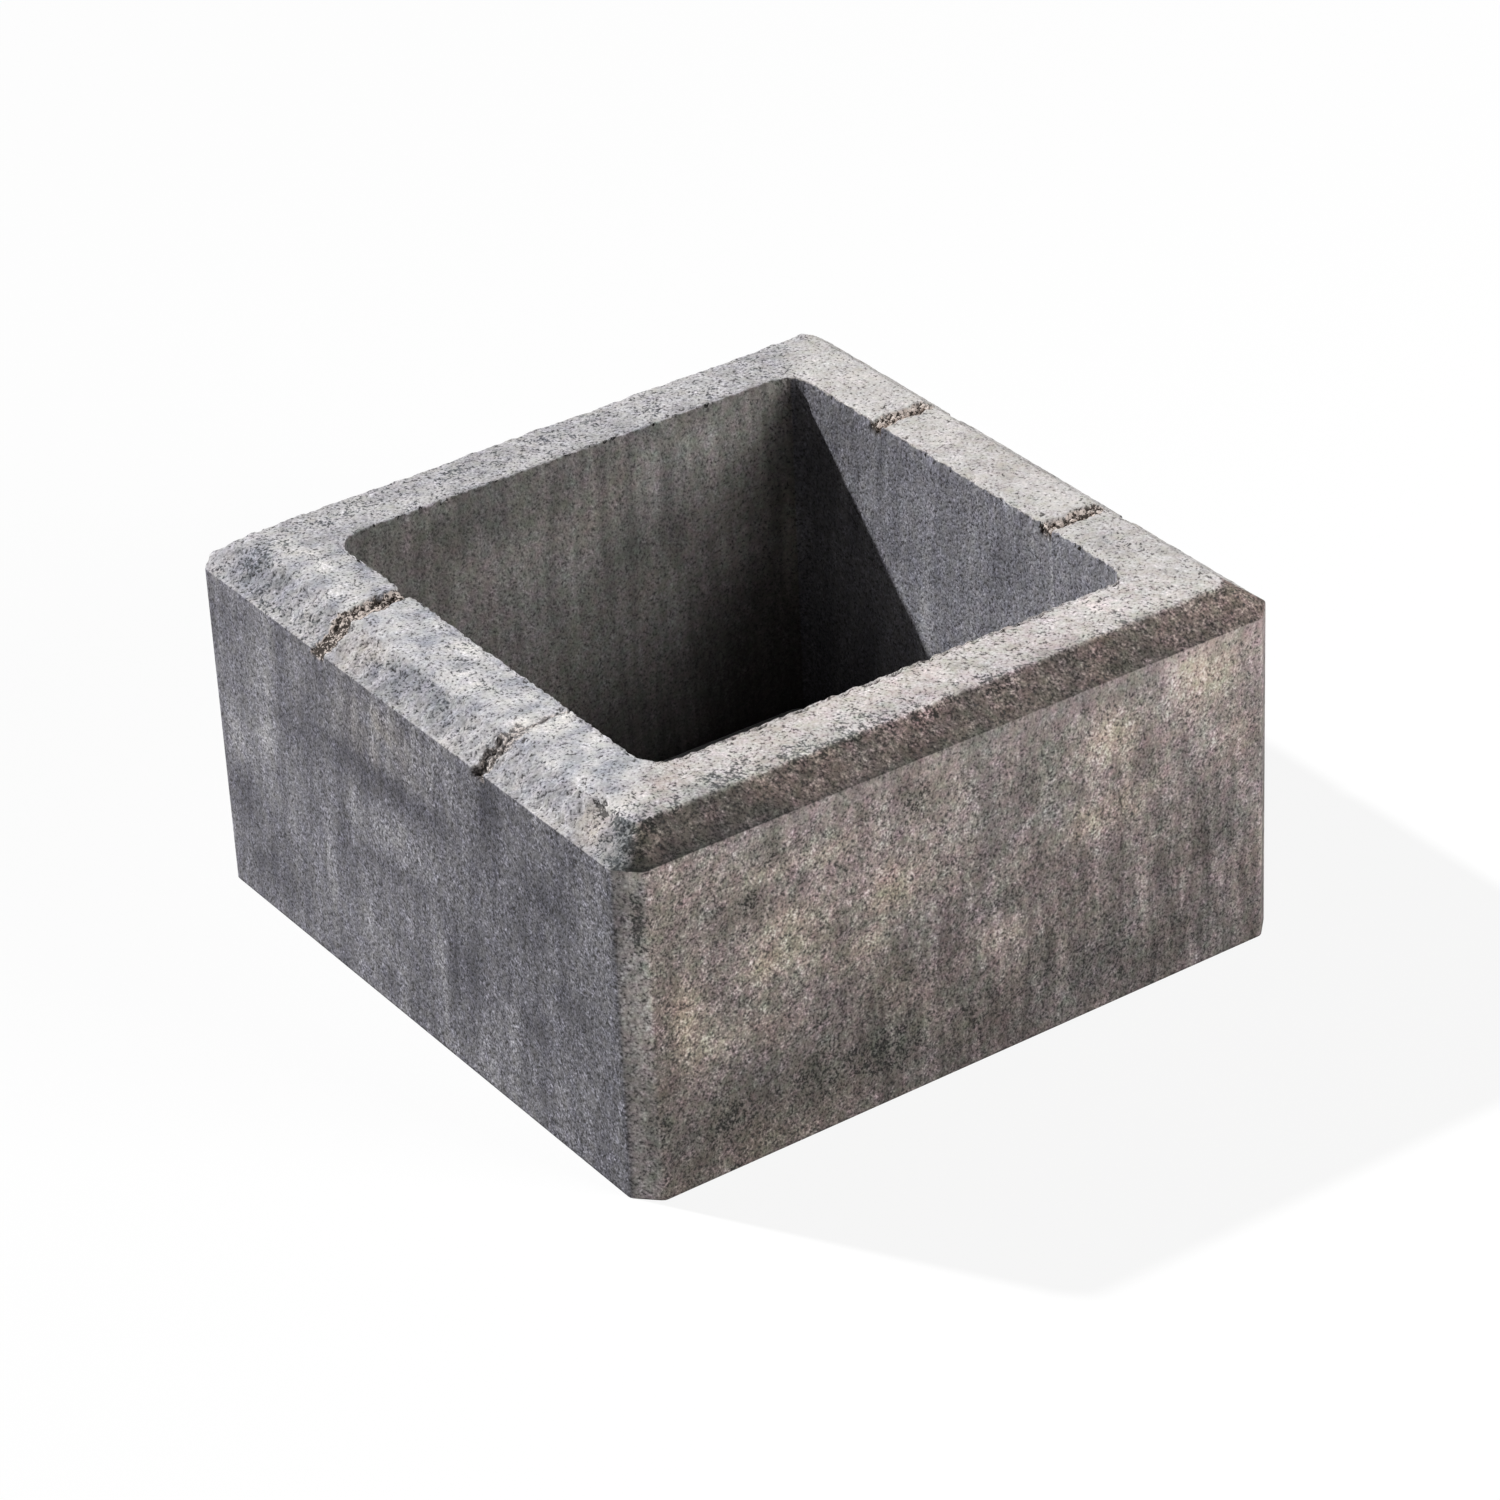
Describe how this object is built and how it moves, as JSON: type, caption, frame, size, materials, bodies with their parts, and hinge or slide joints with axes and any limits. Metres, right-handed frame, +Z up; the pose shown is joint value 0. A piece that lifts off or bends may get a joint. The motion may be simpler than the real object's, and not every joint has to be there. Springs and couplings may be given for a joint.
{
  "type": "hollow concrete pillar block",
  "caption": "Square hollow concrete pillar block with a through hole for a post and its fill, a sloped band round the top edge and break-out grooves across two walls.",
  "frame": {"origin": "centre of the underside, on the axis of the hole", "axes": "+Z up along the hole, +X square to the two grooved walls, +Y along the grooved walls"},
  "size_m": [0.39, 0.39, 0.2],
  "materials": {
    "concrete": "bare vibro-pressed concrete, rough and open-grained, mottled warm and cool grey"
  },
  "bodies": {
    "root": {"pillar_block": "concrete"}
  },
  "joints": []
}
